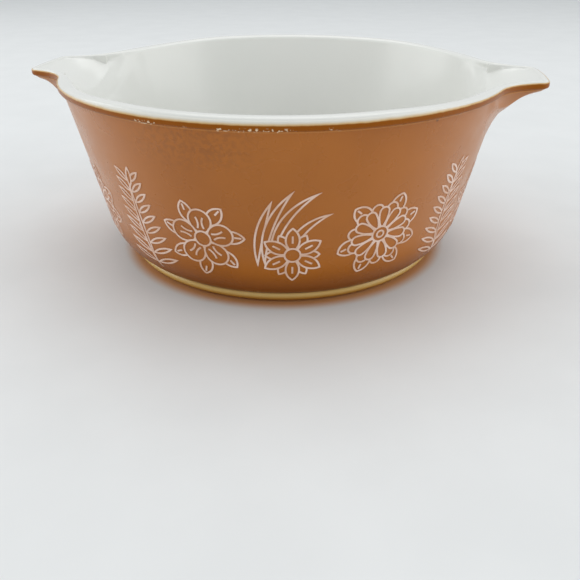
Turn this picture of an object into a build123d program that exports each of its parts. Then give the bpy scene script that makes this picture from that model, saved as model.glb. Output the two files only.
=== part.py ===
"""Round oven casserole in pressed opal glass, with two spout lugs and a fired colour coat.

Own frame: origin at the middle of the foot's resting plane, +Z up, lugs on +X and -X.
All sizes are in millimetres and degrees.
"""
from build123d import *
from math import cos, radians, sin, sqrt, tan
import os

# Overall sizes
body_height = 72.0          # table to the top of the rim
rim_radius = 85.8           # outside of the bead under the rim
lug_reach = 100.2           # middle of the dish to the tip of a lug

# Outer wall, from the foot up to the bead
wall_top_radius = 84.2      # wall just under the bead
wall_draft = 12.3           # lean of the wall from upright
knuckle_height = 17.0       # where the wall starts to turn in to the foot
coat_edge_height = 4.0      # top of the bare foot ring
coat_edge_radius = 64.4
foot_bulge = 1.0            # how far the foot ring stands past the coat's lower edge
foot_rest_radius = 61.8     # outer edge of the flat that rests on the table
foot_width = 3.4            # width of that flat
base_recess = 1.3           # underside of the base above the table

# Glass thickness
wall_thickness = 4.2
base_thickness = 5.0
inner_corner = 15.0         # radius between the inner wall and the inner floor

# Rim
bead_depth = 2.2            # painted side of the bead
rim_round = 1.6             # rounding of the rim's outer top edge
rim_inner_round = 1.4
coat_top_drop = 1.6         # top of the colour coat below the rim's top

# The rim sinks a little towards the lugs
rim_dip = 1.2               # how much lower the lugs' tops are than the rim's highest part
dip_start_x = 40.0          # where the rim starts to sink, from the middle of the dish
dip_end_x = 78.0            # from here out it is level again

# Lugs, each a spout-shaped flare of the rim
lug_root_x = 82.0           # where a lug's straight flank would cross the rim circle
lug_root_half_width = 21.0
lug_tip_half_width = 14.6
lug_blend = 22.0            # hollow curve between the rim circle and a lug's flank
lug_tip_corner = 3.4
lug_tip_bow = 0.8           # how much the middle of the tip stands past its corners
lug_tip_thickness = 3.8
lug_slope = 24.0            # rise of a lug's underside towards the tip
lug_root_drop = 15.0        # depth below the rim at which the flare leaves the wall
lug_root_blend = 8.0        # length over which the underside curves into the wall
bead_setback = 0.8          # step from the bead in to the surface below it
hull_margin = 1.5           # the underside is lofted this much wider, then trimmed to the plan
hull_overrun = 1.0          # and this much longer
hull_run_in = 5.0           # it starts this far inside the wall
hull_least_depth = 1.0
hull_spread = 9.0           # extra half width of the underside where it meets the wall
hull_spread_length = 10.0
lug_wall = 2.6              # glass between a lug's channel and its flanks
lug_floor = 3.4             # glass under a lug's channel
channel_end_margin = 1.8    # glass left beyond the end of the channel
channel_end_depth = 0.5     # depth of the channel there
channel_spread = 6.0        # extra half width of the channel where it meets the bowl
channel_shoulder = 1.0      # upright part of the channel's sides
channel_run_in = 1.3        # how far below the flare the channel starts, measured outwards
channel_run_in_drop = 5.0
cutter_rise = 8.0           # cutters stand this far above the rim
stop_length = 13.0          # cover stops inside the lugs' flanks
stop_width = 3.4
stop_root = 1.0             # how far a stop runs into the flank
stop_inner_x = 82.0         # its wide end, from the middle of the dish
stop_drop = 0.5             # top of a stop below the lug's top
stop_inner_depth = 4.8      # how far a stop reaches down into the glass at its wide end
stop_outer_depth = 1.7

# Fired coats
coat_thickness = 0.25
print_thickness = 0.2       # printed lines stand this far off the colour coat
line_width = 0.65
print_repeats = 4           # times the row of four motifs goes round the dish
first_motif = -102.3        # direction of the first blossom, from +X
motif_step = 23.0           # from one motif to the next in a row
blossom_height = 28.5       # heights of the motifs' middles above the table
star_height = 24.0
daisy_height = 29.0
fern_height = 27.6

wall_lean = tan(radians(wall_draft))
bead_bottom = body_height - coat_top_drop - bead_depth
lug_top = body_height - rim_dip
floor_height = base_recess + base_thickness


def wall_radius(height, skin=0.0):
    """Outside radius of the conical wall at a height, plus a skin measured square to it."""
    return wall_top_radius - (bead_bottom - height) * wall_lean + skin / cos(radians(wall_draft))


def rim_outline(skin=0.0):
    """Plan of the rim: a circle with a spout-shaped lug at each end of X, as a face."""
    with BuildSketch(mode=Mode.PRIVATE) as plan:
        Circle(rim_radius + skin)
        for side in (1, -1):
            root_x, root_y = side * lug_root_x, lug_root_half_width + skin
            tip_x, tip_y = side * (lug_reach - lug_tip_bow + skin), lug_tip_half_width + skin
            with BuildLine():
                Polyline((tip_x, tip_y), (root_x, root_y), (0, root_y), (0, -root_y),
                         (root_x, -root_y), (tip_x, -tip_y))
                ThreePointArc((tip_x, -tip_y), (side * (lug_reach + skin), 0), (tip_x, tip_y))
            make_face()
        corners = plan.vertices()
        tips = [v for v in corners if abs(v.X) > lug_reach - 2 * lug_tip_bow]
        fillet(tips, lug_tip_corner + skin)
        roots = [v for v in plan.vertices() if abs(sqrt(v.X**2 + v.Y**2) - rim_radius - skin) < 0.5
                 and abs(v.Y) > lug_tip_half_width]
        fillet(roots, lug_blend - skin)
    return plan.sketch


def lug_half_width(x):
    """Half the width between a lug's straight flanks at a distance from the dish's middle."""
    lean = (lug_root_half_width - lug_tip_half_width) / (lug_reach - lug_tip_bow - lug_root_x)
    return lug_root_half_width + (lug_root_x - x) * lean


def lug_underside(x):
    """Height of the lowest point of a lug's underside at a distance from the dish's middle."""
    slope = lug_top - lug_tip_thickness - (lug_reach - x) * tan(radians(lug_slope))
    root = body_height - lug_root_drop
    dip = max(0.0, 1 - (x - wall_radius(root)) / lug_root_blend)
    return slope - (slope - root) * dip**2


def lug_section(x, half_width, top, shoulder, bottom):
    """Closed outline in the plane at x: flat top, short upright sides and a hollow bottom."""
    with BuildSketch(Plane(origin=(x, 0, 0), x_dir=(0, 1, 0), z_dir=(1, 0, 0)),
                     mode=Mode.PRIVATE) as outline:
        with BuildLine():
            Polyline((half_width, shoulder), (half_width, top), (-half_width, top),
                     (-half_width, shoulder))
            ThreePointArc((-half_width, shoulder), (0, bottom), (half_width, shoulder))
        make_face()
    return outline.sketch


def lug_hull(side, skin=0.0):
    """Flared underside of one lug, like the bow of a boat, up to the middle of the bead."""
    start = wall_radius(body_height - lug_root_drop)
    reach = lug_reach + hull_overrun - start
    stations = [start - hull_run_in] + [start + reach * step for step in (0, 0.2, 0.4, 0.6, 0.8, 1.0)]
    with BuildPart(mode=Mode.PRIVATE) as hull:
        for x in stations:
            shoulder = bead_bottom - skin
            bottom = min(lug_underside(max(x, start)) - skin, shoulder - hull_least_depth)
            share = min(1.0, max(0.0, 1 - (x - start) / hull_spread_length))
            half_width = lug_half_width(x) + hull_margin + hull_spread * share**2
            add(lug_section(side * x, half_width, lug_top - rim_round / 2, shoulder, bottom))
        loft()
        with BuildSketch() as trim:
            add(rim_outline(skin))
            offset(amount=-bead_setback)
        extrude(amount=body_height + lug_root_drop, mode=Mode.INTERSECT)
    return hull.part


def is_straight_across(edge):
    """True for the lines across the rim's top where its slope starts and ends."""
    return edge.geom_type == GeomType.LINE and abs(abs((edge % 0.5).Y) - 1) < 0.01


def outer_blank(skin=0.0):
    """The dish as a solid block: knuckle, wall, bead and both lugs, grown by a skin."""
    top = bead_bottom + bead_depth / 2
    knuckle = (wall_radius(knuckle_height, skin), knuckle_height)
    edge = (coat_edge_radius + skin, coat_edge_height)
    with BuildPart(mode=Mode.PRIVATE) as blank:
        with BuildSketch(Plane.XZ):
            with BuildLine():
                TangentArc(knuckle, edge, tangent=(-wall_lean, -1))
                Polyline(knuckle, (wall_radius(top, skin), top), (0, top), (0, coat_edge_height), edge)
            make_face()
        revolve(axis=Axis.Z)
        with BuildSketch(Plane.XY.offset(bead_bottom - skin)):
            add(rim_outline(skin))
        extrude(amount=body_height - bead_bottom + skin)
        with BuildSketch(Plane.XZ):
            for side in (1, -1):
                level, far = (side * dip_end_x, lug_top), side * lug_reach * 2
                with BuildLine():
                    Spline((side * dip_start_x, body_height), level,
                           tangents=((side, 0), (side, 0)))
                    Polyline(level, (far, lug_top), (far, body_height * 2),
                             (side * dip_start_x, body_height * 2), (side * dip_start_x, body_height))
                make_face()
        extrude(amount=2 * rim_radius, both=True, mode=Mode.SUBTRACT)
        crown = blank.edges().filter_by(lambda e: e.center().Z > lug_top - 0.01
                                        and e.bounding_box().min.Z > lug_top - 0.01)
        outline = [e for e in crown if not is_straight_across(e)]
        fillet(outline, rim_round)
        for side in (1, -1):
            add(lug_hull(side, skin))
    return blank.part


def channel_half_width(x):
    """Half the width of a lug's channel: the straight flank, set in by the glass beside it."""
    lean = lug_half_width(0) - lug_half_width(1)
    start = wall_radius(body_height - lug_root_drop)
    share = min(1.0, max(0.0, 1 - (x - start) / hull_spread_length))
    return lug_half_width(x) - lug_wall * sqrt(1 + lean**2) + channel_spread * share**2


def channel_floor(x):
    """Point of a channel's floor opposite the underside at x: its distance and its height."""
    root = body_height - lug_root_drop
    if x < wall_radius(root):
        rise, height = 1 / wall_lean, root - (wall_radius(root) - x) / wall_lean
    else:
        step = 0.05
        rise, height = (lug_underside(x + step) - lug_underside(x)) / step, lug_underside(x)
    share = min(1.0, max(0.0, (x - wall_radius(root)) / lug_root_blend))
    glass = wall_thickness + (lug_floor - wall_thickness) * share
    length = sqrt(1 + rise**2)
    return x - glass * rise / length, height + glass / length


def lug_channel(side):
    """Pouring channel of one lug, from inside the bowl out to near the tip, open at the top."""
    start = wall_radius(body_height - lug_root_drop)
    reach = lug_reach - start
    stations = [start - channel_run_in] + [start + reach * step for step in (0, 0.15, 0.3, 0.45, 0.7, 1.0)]
    floors = [channel_floor(x) for x in stations]
    floors.insert(0, (start - 2 * wall_thickness, floors[0][1] - channel_run_in_drop))
    floors[-1] = (lug_reach - channel_end_margin, lug_top - channel_end_depth)
    with BuildPart(mode=Mode.PRIVATE) as channel:
        for x, bottom in floors:
            shoulder = max(lug_top - channel_shoulder, bottom + channel_end_depth * 0.5)
            add(lug_section(side * x, channel_half_width(x), body_height + cutter_rise, shoulder,
                            bottom))
        loft()
    return channel.part


def cover_stops():
    """Four small wedges on the channels' sides, widest towards the bowl."""
    inner_x, outer_x = stop_inner_x, stop_inner_x + stop_length
    top = lug_top - stop_drop
    with BuildPart(mode=Mode.PRIVATE) as stops:
        with BuildSketch(Plane.XZ):
            for side in (1, -1):
                with BuildLine():
                    Polyline((side * inner_x, top), (side * outer_x, top),
                             (side * outer_x, top - stop_outer_depth),
                             (side * inner_x, top - stop_inner_depth), close=True)
                make_face()
        extrude(amount=2 * lug_root_half_width, both=True)
        with BuildSketch():
            for side in (1, -1):
                for hand in (1, -1):
                    root, thin = channel_half_width(inner_x), channel_half_width(outer_x)
                    with BuildLine():
                        Polyline((side * inner_x, hand * (root + stop_root)),
                                 (side * inner_x, hand * (root - stop_width)),
                                 (side * outer_x, hand * thin),
                                 (side * outer_x, hand * (thin + stop_root)), close=True)
                    make_face()
        extrude(amount=body_height, mode=Mode.INTERSECT)
    return stops.part


blank = outer_blank()

with BuildPart() as glass_body:
    add(blank)
    # foot ring: a rounded bead of glass under the coat's lower edge
    with BuildSketch(Plane.XZ):
        with BuildLine():
            heel = (coat_edge_radius, coat_edge_height)
            belly = (coat_edge_radius + foot_bulge * 0.6, coat_edge_height * 0.55)
            rest = Polyline(heel, (0, coat_edge_height), (0, base_recess),
                            (foot_rest_radius - foot_width - base_recess, base_recess),
                            (foot_rest_radius - foot_width, 0), (foot_rest_radius, 0))
            under = TangentArc((foot_rest_radius, 0), belly, tangent=(1, 0))
            TangentArc(belly, heel, tangent=under % 1)
        make_face()
    revolve(axis=Axis.Z)
    # inside of the bowl, its floor blended into the wall and its lip rounded
    lip = wall_radius(body_height) - wall_thickness
    lip_start = (lip - rim_inner_round * wall_lean, body_height - rim_inner_round)
    lip_end = (lip + rim_inner_round, body_height)
    floor_edge = (wall_radius(floor_height) - wall_thickness, floor_height)
    with BuildSketch(Plane.XZ):
        with BuildLine():
            Polyline(lip_end, (lip + rim_inner_round, body_height + cutter_rise),
                     (0, body_height + cutter_rise),
                     (0, floor_height), floor_edge, lip_start)
            ThreePointArc(lip_start, (lip + rim_inner_round * 0.2, body_height - rim_inner_round * 0.3),
                          lip_end)
        make_face()
        corner = vertices().sort_by_distance((floor_edge[0], floor_edge[1]))[0]
        fillet(corner, inner_corner)
    revolve(axis=Axis.Z, mode=Mode.SUBTRACT)
    for side in (1, -1):
        add(lug_channel(side), mode=Mode.SUBTRACT)
    add(cover_stops())

with BuildPart() as colour_coat:
    add(outer_blank(coat_thickness))
    with BuildSketch(Plane.XY.offset(coat_edge_height)):
        Rectangle(3 * lug_reach, 3 * rim_radius)
    extrude(amount=body_height - coat_top_drop - coat_edge_height, mode=Mode.INTERSECT)
    add(blank, mode=Mode.SUBTRACT)


def drawn(shape):
    """Outline of a flat shape, as wide as a printed line, that hides what lies behind it."""
    add(shape, mode=Mode.SUBTRACT)
    with BuildSketch(mode=Mode.PRIVATE) as edge_line:
        add(shape)
        offset(amount=-line_width, kind=Kind.INTERSECTION, mode=Mode.SUBTRACT)
    add(edge_line.sketch)


def round_petal(length, width, start, angle):
    """Petal that points away from the middle of a flower: narrow foot, round tip."""
    shoulder = length - width * 0.5
    with BuildSketch(mode=Mode.PRIVATE) as petal:
        with BuildLine():
            ThreePointArc((start, 0), (start + shoulder * 0.55, width * 0.43),
                          (start + shoulder, width * 0.5))
            ThreePointArc((start + shoulder, width * 0.5), (start + length, 0),
                          (start + shoulder, -width * 0.5))
            ThreePointArc((start + shoulder, -width * 0.5),
                          (start + shoulder * 0.55, -width * 0.43), (start, 0))
        make_face()
    return petal.sketch.rotate(Axis.Z, angle)


def leaf(base, tip, bulge_left, bulge_right):
    """Leaf between two points, pointed at both ends, each side an arc of its own bulge."""
    along = Vector(tip[0] - base[0], tip[1] - base[1])
    across = Vector(-along.Y, along.X) / along.length
    middle = Vector(*base) + along * 0.5
    with BuildSketch(mode=Mode.PRIVATE) as blade:
        with BuildLine():
            ThreePointArc(base, middle + across * bulge_left, tip)
            ThreePointArc(tip, middle - across * bulge_right, base)
        make_face()
    return blade.sketch


def polar(distance, angle):
    """Point at a distance and direction from the middle of a motif."""
    return (distance * cos(radians(angle)), distance * sin(radians(angle)))


def vein(start, end, bow=0.0):
    """Free line inside a petal or leaf, straight or bowed to its left."""
    along = Vector(end[0] - start[0], end[1] - start[1])
    across = Vector(-along.Y, along.X) / along.length
    with BuildLine(mode=Mode.PRIVATE) as stroke:
        if bow:
            ThreePointArc(start, Vector(*start) + along * 0.5 + across * bow, end)
        else:
            Line(start, end)
    trace(stroke.line, line_width=line_width)


def eye(radius):
    """Round middle of a flower."""
    with BuildSketch(mode=Mode.PRIVATE) as disc:
        Circle(radius)
    return disc.sketch


with BuildPart(mode=Mode.PRIVATE) as print_film:
    # thin skin just outside the colour coat that the printed lines are cut from
    inner, outer = coat_thickness, coat_thickness + print_thickness
    with BuildSketch(Plane.XZ):
        with BuildLine():
            low, high = coat_edge_height, body_height - lug_root_drop
            corners = [(coat_edge_radius + inner, low), (coat_edge_radius + outer, low)]
            turns = [(wall_radius(knuckle_height, skin), knuckle_height) for skin in (inner, outer)]
            tops = [(wall_radius(high, skin), high) for skin in (inner, outer)]
            TangentArc(turns[0], corners[0], tangent=(-wall_lean, -1))
            Line(*corners)
            TangentArc(turns[1], corners[1], tangent=(-wall_lean, -1))
            Polyline(turns[1], tops[1], tops[0], turns[0])
        make_face()
    revolve(axis=Axis.Z)


def printed(motif, height, place):
    """Copies of a flat motif, laid on the wall at a height and at its place in each row."""
    wall_plane = Plane(origin=(rim_radius, 0, height), x_dir=(0, 1, 0), z_dir=(1, 0, 0))
    with BuildPart(mode=Mode.PRIVATE) as lines:
        with BuildSketch(wall_plane):
            add(motif)
        extrude(amount=-rim_radius / 2)
        add(print_film.part, mode=Mode.INTERSECT)
    first = first_motif + motif_step * place
    return [lines.part.rotate(Axis.Z, first + 360 * k / print_repeats) for k in range(print_repeats)]


# Each motif is drawn from the back to the front, round a dot that its middle hides.

with BuildSketch() as blossom:
    Circle(line_width)
    for angle in (12, 62, 118, 168, 218, 270, 322):
        drawn(leaf(polar(6, angle), polar(15.2, angle - 6), 3.0, 2.4))
        vein(polar(11.5, angle - 3), polar(13.8, angle - 5))
    for k in range(5):
        angle = 90 + 72 * k
        drawn(round_petal(10.0, 8.8, 1.6, angle))
        vein(polar(4.2, angle - 16), polar(8.4, angle - 9), 0.5)
        vein(polar(4.2, angle + 16), polar(8.4, angle + 9), -0.5)
    drawn(eye(3.2))

with BuildSketch() as star:
    Circle(line_width)
    for foot_x, top_x, top_y, bulge in ((-11.5, -6.5, 21, 3.4), (-9, 0.5, 24.5, 5.2),
                                        (-6, 9, 23.5, 7.2), (-1, 13.0, 15.5, 6.4)):
        drawn(leaf((foot_x, -5), (top_x, top_y), bulge, 3.2 - bulge))
    for k in range(6):
        angle = 60 + 60 * k
        drawn(leaf(polar(2, angle), polar(9.4, angle), 2.0, 2.0))
    for k in range(6):
        angle = 90 + 60 * k
        drawn(leaf(polar(1, angle), polar(11.0, angle), 2.6, 2.6))
        vein(polar(4.8, angle), polar(7.6, angle))
    drawn(eye(3.0))

with BuildSketch() as daisy:
    Circle(line_width)
    for angle in (20, 62, 130, 196, 242, 300, 340):
        drawn(leaf(polar(7, angle), polar(16.0, angle + 5), 3.0, 3.4))
        vein(polar(12.6, angle + 3), polar(14.6, angle + 4))
    for k in range(11):
        drawn(round_petal(6.6, 4.8, 5.8, 90 + 360 * (k + 0.5) / 11))
    for k in range(11):
        drawn(round_petal(9.2, 4.2, 1.6, 90 + 360 * k / 11))
    drawn(eye(3.3))
    drawn(eye(1.6))

with BuildSketch() as fern:
    Circle(line_width)
    for k in range(9):
        rise = k / 8
        joint = (3.0 - 5.0 * rise + 3.5 * rise**2, -15.0 + 32.0 * rise)
        reach = 11.5 - 5.5 * rise
        for hand in (1, -1):
            lift = 0.35 + 0.45 * rise
            tip = (joint[0] + hand * reach, joint[1] + reach * lift)
            drawn(leaf(joint, tip, 1.2, 1.2))
    drawn(leaf((1.5, 15), (3.0, 23.0), 1.4, 1.4))
    drawn(leaf((3.6, -17.5), (1.5, 18), 2.6, -0.3))

with BuildPart() as print_blossom:
    for copy in printed(blossom.sketch, blossom_height, 0):
        add(copy)

with BuildPart() as print_star:
    for copy in printed(star.sketch, star_height, 1):
        add(copy)

with BuildPart() as print_daisy:
    for copy in printed(daisy.sketch, daisy_height, 2):
        add(copy)

with BuildPart() as print_fern:
    for copy in printed(fern.sketch, fern_height, 3):
        add(copy)

glass_body.part.label = "glass_body"
colour_coat.part.label = "colour_coat"
print_blossom.part.label = "print_blossom"
print_star.part.label = "print_star"
print_daisy.part.label = "print_daisy"
print_fern.part.label = "print_fern"

os.makedirs("parts", exist_ok=True)
export_step(glass_body.part, "parts/glass_body.step")
export_step(colour_coat.part, "parts/colour_coat.step")
export_step(print_blossom.part, "parts/print_blossom.step")
export_step(print_star.part, "parts/print_star.step")
export_step(print_daisy.part, "parts/print_daisy.step")
export_step(print_fern.part, "parts/print_fern.step")
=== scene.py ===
import bpy
from math import atan2, cos, degrees, hypot, radians, sin, sqrt, tan
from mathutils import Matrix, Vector


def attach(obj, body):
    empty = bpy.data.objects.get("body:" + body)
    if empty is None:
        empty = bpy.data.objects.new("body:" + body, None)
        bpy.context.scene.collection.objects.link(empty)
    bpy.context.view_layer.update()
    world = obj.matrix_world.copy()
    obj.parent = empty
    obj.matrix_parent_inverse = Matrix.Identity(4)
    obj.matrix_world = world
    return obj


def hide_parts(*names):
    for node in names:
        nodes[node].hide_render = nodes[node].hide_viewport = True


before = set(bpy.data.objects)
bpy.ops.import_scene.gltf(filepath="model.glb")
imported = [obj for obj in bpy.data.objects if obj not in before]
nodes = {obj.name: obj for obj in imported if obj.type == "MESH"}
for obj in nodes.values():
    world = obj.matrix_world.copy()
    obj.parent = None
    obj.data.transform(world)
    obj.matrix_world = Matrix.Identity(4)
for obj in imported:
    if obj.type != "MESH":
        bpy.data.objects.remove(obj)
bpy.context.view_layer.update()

# ---- Camera --------------------------------------------------------------------------
# A normal lens at arm's length, looking down over the front rim into the bowl.
# The dish stands a little turned, so its right lug comes nearer.
bpy.ops.object.camera_add(location=(0.04024, -0.26589, 0.11795),
                          rotation=(radians(61.12), radians(0.09), radians(8.0)))
camera = bpy.context.object
camera.data.sensor_width = 36.0
camera.data.lens = 40.34
camera.data.clip_start = 0.01
bpy.context.scene.camera = camera

# ---- Table and light -----------------------------------------------------------------
# A wide, pale grey painted table, a large soft lamp over the dish, a weak one in front and
# one at each side, and an even grey-white room.
bpy.ops.object.select_all(action="DESELECT")
bpy.ops.mesh.primitive_plane_add(size=6.0, location=(0, 0, -0.0002))
table = bpy.context.object
table.name = "table"


def add(tree, kind, values=None, **settings):
    """New shader node; values go to its inputs, as constants or from another node's output."""
    node = tree.nodes.new("ShaderNode" + kind)
    for name, value in settings.items():
        setattr(node, name, value)
    for name, value in (values or {}).items():
        if isinstance(value, bpy.types.NodeSocket):
            tree.links.new(value, node.inputs[name])
        else:
            node.inputs[name].default_value = value
    return node


def blank_material(name, roughness, specular):
    """New material with its shader, its node tree and the piece's own coordinates."""
    material = bpy.data.materials.new(name)
    material.use_nodes = True
    shader = material.node_tree.nodes["Principled BSDF"]
    shader.inputs["Roughness"].default_value = roughness
    shader.inputs["Specular IOR Level"].default_value = specular
    return material, shader, material.node_tree, add(material.node_tree, "TexCoord").outputs["Object"]


def noise(tree, here, scale, detail=3.0):
    """Cloudy pattern of a given scale, as one number."""
    return add(tree, "TexNoise", {"Vector": here, "Scale": scale, "Detail": detail}).outputs["Fac"]


def between(tree, value, low, high, start=0.0, end=1.0):
    """A value's smooth change from start to end while it goes from low to high."""
    values = {"Value": value, "From Min": low, "From Max": high, "To Min": start, "To Max": end}
    return add(tree, "MapRange", values, interpolation_type="SMOOTHSTEP").outputs["Result"]


def tint(tree, share, a, b):
    """Colour between a and b."""
    colours = {0: share, 6: a if not isinstance(a, tuple) else a + (1,), 7: b + (1,)}
    return add(tree, "Mix", colours, data_type="RGBA").outputs[2]


# the paint, with a painted amber glow and shadow close round the dish, standing for the light that comes
# through the foot and the shade under it
PAINT, PAINT_PALER, AMBER_GLOW_AND_SHADOW_PAINT = (0.70, 0.715, 0.715), (0.72, 0.735, 0.735), (0.56, 0.22, 0.02)
LIGHT_ENDS, LIGHT_FULL, LIGHT_SHARE = 0.0705, 0.0645, 0.86
table_paint, shader, tree, here = blank_material("table_paint", 0.55, 0.5)
colour = tint(tree, between(tree, noise(tree, here, 30), 0.3, 0.7), PAINT, PAINT_PALER)
away = add(tree, "VectorMath", {0: here}, operation="LENGTH").outputs["Value"]
# painted light and shadow: the table turns amber-brown close round the foot
painted_glow_and_shadow = between(tree, away, LIGHT_ENDS, LIGHT_FULL, 0.0, LIGHT_SHARE)
colour = tint(tree, painted_glow_and_shadow, colour, AMBER_GLOW_AND_SHADOW_PAINT)
tree.links.new(colour, shader.inputs["Base Color"])
table.data.materials.append(table_paint)

world = bpy.data.worlds.new("room")
bpy.context.scene.world = world
world.use_nodes = True
room = world.node_tree.nodes["Background"]
room.inputs["Color"].default_value = (0.95, 0.98, 1.0, 1)
room.inputs["Strength"].default_value = 0.66


def soft_lamp(name, place, aim, width, depth, power):
    """Large rectangular lamp at a place, turned to face a point."""
    turn = (Vector(aim) - Vector(place)).to_track_quat("-Z", "Y").to_euler()
    bpy.ops.object.light_add(type="AREA", location=place, rotation=turn)
    lamp = bpy.context.object
    lamp.name = name
    lamp.data.shape = "RECTANGLE"
    lamp.data.size = width
    lamp.data.size_y = depth
    lamp.data.energy = power


soft_lamp("lamp_above", place=(0.0, 0.42, 1.1), aim=(0, 0.15, 0), width=1.1, depth=0.9, power=4.6)
soft_lamp("lamp_front", place=(0.0, -1.0, 0.4), aim=(0, 0, 0), width=1.4, depth=0.6, power=1.0)
soft_lamp("lamp_left", place=(-1.0, -0.02, 0.4), aim=(0, 0.05, 0.03), width=0.9, depth=0.8, power=4.0)
soft_lamp("lamp_right", place=(1.0, 0.0, 0.4), aim=(0, 0.05, 0.03), width=0.9, depth=0.8, power=3.7)
bpy.context.scene.view_settings.view_transform = "Standard"

# ---- Glass body ----------------------------------------------------------------------
# One thick pressing of milk-white opal glass: a foot ring, a bowl with a flat beaded rim,
# and a spout lug at each end whose floor runs out almost flush with its tip.
MM = 0.001
# sizes in mm; first the plain bowl: heights of the rim's and the wall's top, outside radii
# there, the wall's lean and thickness, the base inside and under it, and the inner corner
RIM_TOP, WALL_TOP = 72.0, 68.2
RIM_R, WALL_TOP_R = 85.8, 84.2
WALL_LEAN = tan(radians(12.3))
WALL, BASE_TOP, RECESS = 4.2, 6.3, 1.3
CORNER_R, CORNER_MIDDLE = 15.0, (54.42, 21.3)
# a lug's outline: half its width at the tip and at the root, their places, and the blend to the rim
LUG_REACH, TIP_HALF, TIP_X, TIP_CORNER = 100.17, 14.6, 99.4, 3.0
ROOT_HALF, ROOT_X, ROOT_BLEND = 21.0, 82.0, 22.0
# a lug's section: its top, thickness and slope, the heights at which it swells out of the wall,
# how far out its root is widened, and how soft the crease between them is
LUG_TOP, LUG_THICK, LUG_SLOPE = 70.8, 3.8, tan(radians(24.0))
FLARE_LOW, FLARE_FULL, FLARE_ROOT = 50.0, 56.0, 57.0
ROOT_RUN, DIP_RUN, CREASE = 12.0, 8.0, 3.4
# the underside reaches past the flanks, and the channel stays inside them; both widen at the root
UNDER_PAST, UNDER_WIDENS = 1.5, 9.0
CHANNEL_INSIDE, CHANNEL_WIDENS, CHANNEL_BACK = 1.8, 7.0, 2.0
# degrees from a lug's middle where it is full and gone, and where the rim's dip begins and ends
LUG_FULL, LUG_GONE = 15.0, 27.0
DIP_BEGINS, DIP_ENDS = 40.0, 78.0


def outer_wall(height):
    """Outside radius of the plain wall at a height."""
    return WALL_TOP_R - (WALL_TOP - height) * WALL_LEAN


def arc(middle, radius, start, end, steps):
    """Points along an arc, angles in degrees."""
    return [(middle[0] + radius * cos(radians(start + (end - start) * k / steps)),
             middle[1] + radius * sin(radians(start + (end - start) * k / steps)))
            for k in range(steps + 1)]


def ease(value, low, high):
    """0 below low, 1 above high, and a smooth curve between."""
    share = min(1.0, max(0.0, (value - low) / (high - low)))
    return share * share * (3 - 2 * share)


def swell(a, b, softness):
    """The larger of two lengths, with the corner where they cross rounded off."""
    return 0.5 * (a + b + sqrt((a - b) ** 2 + softness**2))


def quarter_outline():
    """Rim outline from the middle of a lug's tip to the middle of the dish's side."""
    run = hypot(TIP_X - ROOT_X, ROOT_HALF - TIP_HALF)
    along = ((TIP_X - ROOT_X) / run, (TIP_HALF - ROOT_HALF) / run)
    out = (-along[1], along[0])
    # the place on the flank from which the blend's arc just touches the round rim
    low, high = 0.0, run
    for _ in range(60):
        reach = (low + high) / 2
        middle = (ROOT_X + along[0] * reach + out[0] * ROOT_BLEND,
                  ROOT_HALF + along[1] * reach + out[1] * ROOT_BLEND)
        low, high = (reach, high) if hypot(*middle) < RIM_R + ROOT_BLEND else (low, reach)
    # the bowed tip, its rounded corner, the straight flank, the blend and the round rim
    bow = (TIP_HALF**2 + (LUG_REACH - TIP_X) ** 2) / (2 * (LUG_REACH - TIP_X))
    swing = degrees(atan2(TIP_HALF - TIP_CORNER, bow))
    points = arc((LUG_REACH - bow, 0), bow, 0, swing, 12)
    a, b = points[-1], (TIP_X, TIP_HALF)
    c = (TIP_X - along[0] * TIP_CORNER, TIP_HALF - along[1] * TIP_CORNER)
    for step in range(1, 9):
        t = step / 8
        points.append(tuple((1 - t) ** 2 * a[i] + 2 * t * (1 - t) * b[i] + t * t * c[i] for i in (0, 1)))
    flank_end = (middle[0] - out[0] * ROOT_BLEND, middle[1] - out[1] * ROOT_BLEND)
    steps = max(2, int(hypot(c[0] - flank_end[0], c[1] - flank_end[1]) / 0.9))
    points += [(c[0] + (flank_end[0] - c[0]) * k / steps, c[1] + (flank_end[1] - c[1]) * k / steps)
               for k in range(1, steps)]
    meet = degrees(atan2(middle[1], middle[0]))
    points += arc(middle, ROOT_BLEND, degrees(atan2(-out[1], -out[0])), meet - 180, 18)
    return points + arc((0, 0), RIM_R, meet, 90, int((90 - meet) / 1.4))[1:]


quarter = quarter_outline()
outline = quarter + [(-x, y) for x, y in reversed(quarter[:-1])]
outline += [(x, -y) for x, y in reversed(outline[1:-1])]
count = len(outline)


def flank(x):
    """Half the width between a lug's straight flanks at a distance from the dish's middle."""
    return ROOT_HALF + (ROOT_X - x) * (ROOT_HALF - TIP_HALF) / (TIP_X - ROOT_X)


def underside(x):
    """Height of the middle of a lug's underside at a distance from the dish's middle."""
    slope = LUG_TOP - LUG_THICK - (LUG_REACH - x) * LUG_SLOPE
    dip = max(0.0, 1 - (x - outer_wall(FLARE_ROOT)) / DIP_RUN)
    return slope - (slope - FLARE_ROOT) * dip * dip


def flare_height(x, y):
    """Height of a lug's underside above any point: lowest in the middle, up at the flanks."""
    x, y, root = abs(x), abs(y), outer_wall(FLARE_ROOT)
    half = flank(x) + UNDER_PAST + UNDER_WIDENS * (1 - ease(x, root, root + ROOT_RUN))
    low = underside(x) if x > root else FLARE_ROOT - (root - x)
    return low + (WALL_TOP - low) * (y / half) ** 2


def channel_half(x):
    """Half the width of a lug's inside at a distance from the dish's middle."""
    root = outer_wall(FLARE_ROOT) - CHANNEL_BACK
    return flank(x) - CHANNEL_INSIDE + CHANNEL_WIDENS * (1 - ease(x, root, root + ROOT_RUN))


def channel_height(x, y):
    """Height of a lug's inside above any point: a trough that ends flush with the tip."""
    x, y, root = abs(x), abs(y), outer_wall(FLARE_ROOT) - CHANNEL_BACK
    floor = underside(x + 1.6) + 3.6 if x > root else FLARE_ROOT + 3 - (root - x) * 1.5
    floor = min(floor, LUG_TOP - 0.3)
    return floor + (LUG_TOP - 0.5 - floor) * (y / channel_half(x)) ** 2


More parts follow.
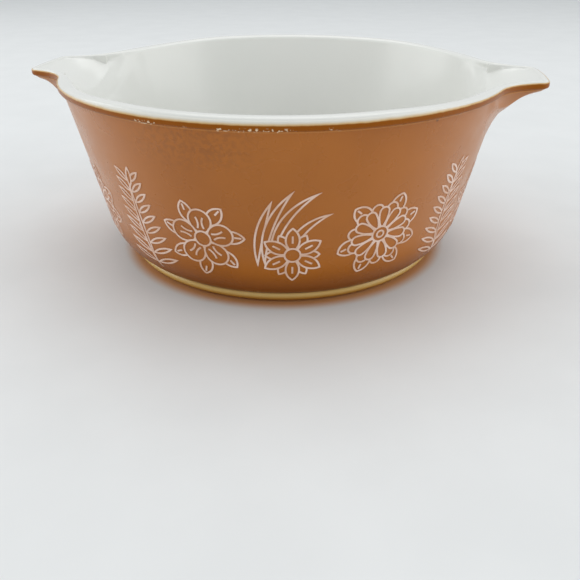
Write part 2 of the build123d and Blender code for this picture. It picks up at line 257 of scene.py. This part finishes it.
# rows of the section, from under the middle, round the foot and up the plain wall
foot = [(r, RECESS) for r in (0, 20, 38, 50, 56.4)] + [(57.2, 1.15), (57.9, 0.45), (58.4, 0.1), (58.9, 0)]
foot += [(60.2, 0)] + arc((61.8, 3.427), 3.427, -90, -21, 7) + arc((63.605, 2.735), 1.494, -15, 57.9, 5)
knuckle = arc((52.05, 21.58), 21.48, -54.9, -12.3, 12)[1:]
plain = [(outer_wall(z), z) for z in (20, 24, 28, 32, 36, 40, 44, 47)]
FLARE_ROWS, CHANNEL_ROWS = 36, 36
# rim rows: how far in from the outline and how high, on the plain rim and on a lug
BEAD_ROUND, LUG_ROUND, BEAD_LOW = 1.6, 1.3, 68.0
rim = [((1.5, BEAD_LOW), (0.85, BEAD_LOW)), ((1.2, 68.14), (0.6, 68.12)), ((0.6, 68.24), (0.3, 68.22)),
       ((0.2, 68.46), (0.1, 68.42)), ((0.0, 68.9), (0.0, 68.75)), ((0.0, 69.6), (0.0, 69.1)),
       ((0.0, 70.4), (0.02, 69.5))]
for angle in (15, 30, 45, 60, 75, 90):
    inward, upward = 1 - cos(radians(angle)), sin(radians(angle)) - 1
    rim.append(((BEAD_ROUND * inward, RIM_TOP + BEAD_ROUND * upward),
                (LUG_ROUND * inward, LUG_TOP + LUG_ROUND * upward)))
rim += [((2.5, RIM_TOP), (1.5, LUG_TOP)), ((3.4, RIM_TOP), (1.7, 70.78)), ((4.1, 71.85), (1.9, 70.7)),
        ((4.7, 71.5), (2.1, 70.58)), ((5.1, 71.05), (2.25, 70.4)), ((5.28, 70.6), (2.35, 70.2))]
inside = [(outer_wall(z) - WALL, z) for z in (46, 42, 38, 34, 30, 26, 22)]
inside += arc(CORNER_MIDDLE, CORNER_R, -12.3, -90, 12) + [(r, BASE_TOP) for r in (44, 28, 12, 0)]
bead_row = len(foot) + len(knuckle) + len(plain) + FLARE_ROWS + 2


def heights_along(surface, start, end, steps=80):
    """Heights of a surface at even steps along a line."""
    return [surface(start[0] + (end[0] - start[0]) * n / steps, start[1] + (end[1] - start[1]) * n / steps)
            for n in range(steps + 1)]


def reach_at(heights, length, wanted):
    """Distance along a line at which its heights first come up to the wanted one."""
    for k, (a, b) in enumerate(zip(heights, heights[1:])):
        if b >= wanted:
            share = (wanted - a) / (b - a) if b > a and wanted > a else 0.0
            return length * (k + share) / (len(heights) - 1)
    return length


def swollen(start, end, heights, wall, z, lug):
    """Point at a height z between start and end, where the wall swells out into a lug."""
    length = hypot(end[0] - start[0], end[1] - start[1])
    out = reach_at(heights, length, z) if heights[0] < z else (z - heights[0]) * 1.5
    pull = ease(z, FLARE_LOW, FLARE_FULL) * ease(lug, 0.0, 0.4)
    along = min(length, wall + (swell(wall, out, CREASE) - wall) * pull) / length
    return (start[0] + (end[0] - start[0]) * along, start[1] + (end[1] - start[1]) * along, z)


def column(k):
    """Points of one upright slice of the glass, from under the middle to inside the middle."""
    here, before, after = outline[k], outline[k - 1], outline[(k + 1) % count]
    turn = atan2(here[1], here[0])
    side = (cos(turn), sin(turn))
    normal = (after[1] - before[1], before[0] - after[0])
    size = hypot(*normal)
    normal = (normal[0] / size, normal[1] / size)
    # lug is 1 in the middle of a lug and 0 on the plain rim, which dips towards the lugs
    lug = 1 - ease(abs(degrees(atan2(abs(here[1]), abs(here[0])))), LUG_FULL, LUG_GONE)
    dip = (RIM_TOP - LUG_TOP) * ease(abs(here[0]), DIP_BEGINS, DIP_ENDS)
    points = [(side[0] * r, side[1] * r, z) for r, z in foot + knuckle + plain]
    # outside, from the plain wall out to the bead
    (inset, _), (lug_inset, _) = rim[0]
    inset += (lug_inset - inset) * lug
    start = (side[0] * outer_wall(FLARE_LOW), side[1] * outer_wall(FLARE_LOW))
    end = (here[0] - normal[0] * inset, here[1] - normal[1] * inset)
    heights = heights_along(flare_height, start, end)
    top = min(BEAD_LOW, max(60.0, heights[-1]))
    for n in range(FLARE_ROWS):
        z = FLARE_LOW + (top - FLARE_LOW) * n / FLARE_ROWS
        points.append(swollen(start, end, heights, (z - FLARE_LOW) * WALL_LEAN, z, lug))
    # bead, top and lip
    for (inset, high), (lug_inset, lug_high) in rim:
        inset += (lug_inset - inset) * lug
        share = (high - BEAD_LOW) / (RIM_TOP - BEAD_LOW)
        high = (high - dip * share) * (1 - lug) + lug_high * lug
        points.append((here[0] - normal[0] * inset, here[1] - normal[1] * inset, high))
    # inside, from the lip down to the plain wall
    lip = points[-1]
    start = (side[0] * (outer_wall(FLARE_LOW) - WALL), side[1] * (outer_wall(FLARE_LOW) - WALL))
    length = hypot(lip[0] - start[0], lip[1] - start[1])
    heights = heights_along(channel_height, start, lip)
    for n in range(1, CHANNEL_ROWS + 1):
        z = lip[2] + (FLARE_LOW - lip[2]) * n / CHANNEL_ROWS
        lean = WALL_LEAN if lug > 0 else length / (lip[2] - FLARE_LOW)
        points.append(swollen(start, lip, heights, (z - FLARE_LOW) * lean, z, lug))
    return points + [(side[0] * r, side[1] * r, z) for r, z in inside]


columns = [column(k) for k in range(count)]


def face_outwards():
    """Turns all faces of the active piece outwards."""
    bpy.ops.object.mode_set(mode="EDIT")
    bpy.ops.mesh.select_all(action="SELECT")
    bpy.ops.mesh.normals_make_consistent(inside=False)
    bpy.ops.object.mode_set(mode="OBJECT")


def wrapped(name, first, last):
    """Grid of faces wrapped round the dish between two rows, its seam and poles closed."""
    bpy.ops.object.select_all(action="DESELECT")
    bpy.ops.mesh.primitive_grid_add(x_subdivisions=count, y_subdivisions=last - first, size=1.0)
    piece = bpy.context.object
    piece.name = name
    # height over the bead's lower edge and under the piece's last row, in mm, for its finish
    over_bead = piece.data.attributes.new("over_bead", "FLOAT", "POINT")
    under_edge = piece.data.attributes.new("under_edge", "FLOAT", "POINT")
    for vertex in piece.data.vertices:
        across = round((vertex.co.x + 0.5) * count) % count
        row = first + round((vertex.co.y + 0.5) * (last - first))
        height = columns[across][row][2]
        over_bead.data[vertex.index].value = height - columns[across][bead_row][2]
        under_edge.data[vertex.index].value = columns[across][last][2] - height
        vertex.co = Vector(columns[across][row]) * MM
    bpy.ops.object.mode_set(mode="EDIT")
    bpy.ops.mesh.select_all(action="SELECT")
    bpy.ops.mesh.remove_doubles(threshold=0.000002)
    bpy.ops.object.mode_set(mode="OBJECT")
    face_outwards()
    bpy.ops.object.shade_smooth()
    return piece


def outline_half(x):
    """Half the width of the rim's outline at a distance from the dish's middle."""
    return max(y for near, y in quarter if near >= x)


# a cover stop: its two ends along the lug, its inner face and its depth at each end
STOP_NEAR, STOP_FAR = 82.0, 95.0
STOP_INNER_NEAR, STOP_INNER_FAR = 20.2, 13.5
STOP_DEEP_NEAR, STOP_DEEP_FAR = 5.0, 1.7


def cover_stop(side, hand):
    """Wedge of glass inside a lug's flank, sunk a little into it, its deep end to the bowl."""
    bpy.ops.object.select_all(action="DESELECT")
    bpy.ops.mesh.primitive_cube_add(size=2.0)
    stop = bpy.context.object
    bpy.ops.object.mode_set(mode="EDIT")
    bpy.ops.mesh.subdivide(number_cuts=5)
    bpy.ops.object.mode_set(mode="OBJECT")
    for vertex in stop.data.vertices:
        along, across, up = ((value + 1) / 2 for value in vertex.co)
        x = STOP_NEAR + (STOP_FAR - STOP_NEAR) * along
        inner = STOP_INNER_NEAR + (STOP_INNER_FAR - STOP_INNER_NEAR) * along
        outer = min(channel_half(x) + 0.5, outline_half(x) - 2.6) - 1.3 * (1 - up)
        outer = max(inner + 0.3, outer)
        deep = STOP_DEEP_NEAR + (STOP_DEEP_FAR - STOP_DEEP_NEAR) * along
        z = LUG_TOP - 0.5 - deep * (1 - up)
        vertex.co = Vector((side * x, hand * (inner + (outer - inner) * across), z)) * MM
    edge = stop.modifiers.new("edge", "BEVEL")
    edge.width = 0.45 * MM
    edge.segments = 3
    edge.limit_method = "ANGLE"
    edge.angle_limit = radians(40)
    bpy.ops.object.modifier_apply(modifier="edge")
    face_outwards()
    bpy.ops.object.shade_smooth_by_angle(angle=radians(40))
    return stop


glass = wrapped("glass_dish", 0, len(columns[0]) - 1)
stops = [cover_stop(side, hand) for side in (1, -1) for hand in (1, -1)]
bpy.ops.object.select_all(action="DESELECT")
for piece in stops + [glass]:
    piece.select_set(True)
bpy.context.view_layer.objects.active = glass
bpy.ops.object.join()


def uneven(tree, shader, height, strength, depth):
    """Fine bumps in a surface, depth in mm."""
    bump = add(tree, "Bump", {"Strength": strength, "Distance": depth * MM, "Height": height})
    tree.links.new(bump.outputs["Normal"], shader.inputs["Normal"])


# milk white with a faint cream cloud; the bare foot ring is amber, with painted shade darkening it towards
# its lower edge
MILK, CREAM = (0.72, 0.725, 0.69), (0.745, 0.745, 0.71)
AMBER, AMBER_PAINTED_SHADE = (0.60, 0.39, 0.115), (0.36, 0.15, 0.006)
opal, shader, tree, here = blank_material("opal_glass", 0.12, 0.5)
height = add(tree, "SeparateXYZ", {0: here}).outputs["Z"]
colour = tint(tree, between(tree, noise(tree, here, 14), 0.35, 0.7), MILK, CREAM)
colour = tint(tree, between(tree, height, 0.0058, 0.0042), colour, AMBER)
# painted shade: the foot ring darkens towards its lower edge, where it turns under
colour = tint(tree, between(tree, height, 0.0034, 0.0008), colour, AMBER_PAINTED_SHADE)
tree.links.new(colour, shader.inputs["Base Color"])
tree.links.new(between(tree, noise(tree, here, 60), 0.3, 0.7, 0.20, 0.25), shader.inputs["Roughness"])
uneven(tree, shader, noise(tree, here, 25, 1.0), strength=0.05, depth=0.10)
glass.data.materials.append(opal)
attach(glass, "root")
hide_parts("glass_body")

# ---- Colour coat ---------------------------------------------------------------------
# Brown glass colour, sprayed on the outside and fired to a gloss. It runs from just above
# the foot to the rounding of the rim, and over the undersides of the lugs.
COAT = 0.25
foot_row, paint_row = len(foot) - 1, bead_row + 6
coat = wrapped("brown_coat", foot_row, paint_row)
if sum(p.normal.dot(Vector((p.center.x, p.center.y, 0))) for p in coat.data.polygons) < 0:
    coat.data.flip_normals()
thick = coat.modifiers.new("thickness", "SOLIDIFY")
thick.thickness = COAT * MM
thick.offset = 1.0
thick.use_even_offset = True
bpy.ops.object.modifier_apply(modifier="thickness")


def times(tree, a, b):
    """Product of two numbers."""
    return add(tree, "Math", {0: a, 1: b}, operation="MULTIPLY").outputs[0]


def plus(tree, a, b):
    """Sum of two numbers."""
    return add(tree, "Math", {0: a, 1: b}, operation="ADD").outputs[0]


def band(tree, value, start, full, fade, end):
    """1 from full to fade, 0 before start and after end, with smooth changes between."""
    return times(tree, between(tree, value, start, full), between(tree, value, end, fade))


BROWN, BROWN_PALER, BROWN_PAINTED_SHADE = (0.362, 0.105, 0.001), (0.420, 0.128, 0.004), (0.19, 0.046, 0.001)
MOTTLE, SPECK, BEAD = (0.20, 0.060, 0.006), (0.09, 0.024, 0.003), (0.275, 0.075, 0.0)
BEAD_HIGHLIGHT, CHIP = (0.60, 0.30, 0.12), (0.80, 0.62, 0.42)
THIN_EDGE, BARE_EDGE = (0.62, 0.40, 0.16), (0.75, 0.74, 0.68)
brown, shader, tree, here = blank_material("fired_brown", 0.3, 0.45)
place = add(tree, "SeparateXYZ", {0: here}).outputs
under = add(tree, "Attribute", {}, attribute_name="under_edge").outputs["Fac"]
bead = add(tree, "Attribute", {}, attribute_name="over_bead").outputs["Fac"]
front = between(tree, place["Y"], -0.055, -0.070)
# faint clouds, with painted shade low down where the wall turns under towards the foot
colour = tint(tree, between(tree, noise(tree, here, 22, 5.0), 0.3, 0.7), BROWN, BROWN_PALER)
colour = tint(tree, between(tree, place["Z"], 0.022, 0.004, 0.0, 0.9), colour, BROWN_PAINTED_SHADE)
# a mottled patch high on the front, and a few dark specks
patch = band(tree, place["X"], -0.046, -0.022, -0.008, 0.012)
patch = times(tree, times(tree, between(tree, place["Z"], 0.050, 0.061), patch), front)
patch = times(tree, patch, between(tree, noise(tree, here, 700, 4.0), 0.40, 0.62))
colour = tint(tree, times(tree, patch, 0.34), colour, MOTTLE)
speck = add(tree, "TexVoronoi", {"Vector": here, "Scale": 45.0}).outputs["Distance"]
colour = tint(tree, between(tree, speck, 0.030, 0.018, 0.0, 0.75), colour, SPECK)
# the darker bead, with a painted highlight: a paler line in the crease under it
colour = tint(tree, between(tree, bead, -0.45, 0.0), colour, BEAD)
highlight_line = band(tree, bead, -1.0, -0.7, -0.6, -0.3)
colour = tint(tree, times(tree, highlight_line, 0.45), colour, BEAD_HIGHLIGHT)
# small cream chips along the bead's lower edge at the front
chip = band(tree, bead, -0.9, -0.4, 0.4, 1.1)
chip = times(tree, chip, between(tree, noise(tree, here, 1100, 1.0), 0.565, 0.60))
chip = times(tree, times(tree, chip, front), between(tree, noise(tree, here, 120, 0.0), 0.44, 0.50))
chip = times(tree, chip, band(tree, place["X"], -0.038, -0.030, 0.024, 0.030))
colour = tint(tree, chip, colour, CHIP)
# a ragged edge where the coat thins out to the white glass, narrower towards the lugs
sideways = add(tree, "Math", {0: place["X"]}, operation="ABSOLUTE").outputs[0]
ragged = plus(tree, under, times(tree, noise(tree, here, 300), -0.35))
ragged = plus(tree, ragged, between(tree, sideways, 0.035, 0.078, 0.0, 1.05))
colour = tint(tree, between(tree, ragged, 1.40, 0.95), colour, THIN_EDGE)
colour = tint(tree, between(tree, ragged, 1.20, 0.10), colour, BARE_EDGE)
tree.links.new(colour, shader.inputs["Base Color"])
# gloss and a soft sheen, both fainter near the foot and on the bead
low = between(tree, place["Z"], 0.006, 0.030, 0.10, 1.0)
shine = times(tree, low, between(tree, bead, -1.1, -0.5, 0.45, 0.10))
tree.links.new(shine, shader.inputs["Specular IOR Level"])
tree.links.new(times(tree, low, between(tree, bead, -1.1, -0.5, 0.36, 0.15)), shader.inputs["Sheen Weight"])
shader.inputs["Sheen Roughness"].default_value = 0.45
shader.inputs["Sheen Tint"].default_value = (1.0, 0.92, 0.84, 1)
tree.links.new(between(tree, noise(tree, here, 90), 0.3, 0.7, 0.24, 0.38), shader.inputs["Roughness"])
uneven(tree, shader, noise(tree, here, 260, 2.0), strength=0.12, depth=0.05)
coat.data.materials.append(brown)
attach(coat, "root")
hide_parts("colour_coat")

# ---- Line print ----------------------------------------------------------------------
# A band of line-drawn flowers and ferns, screened on over the coat and fired. It is pale
# pink-white enamel, a little thin in places so that the brown shows through.
ENAMEL_THIN, ENAMEL = (0.68, 0.44, 0.32), (0.80, 0.60, 0.50)
pale, shader, tree, here = blank_material("pale_enamel", 0.35, 0.4)
colour = tint(tree, between(tree, noise(tree, here, 160, 4.0), 0.35, 0.65), ENAMEL_THIN, ENAMEL)
tree.links.new(colour, shader.inputs["Base Color"])
uneven(tree, shader, noise(tree, here, 900, 2.0), strength=0.3, depth=0.04)
for name in ("print_blossom", "print_star", "print_daisy", "print_fern"):
    for slot in nodes[name].material_slots:
        slot.material = pale
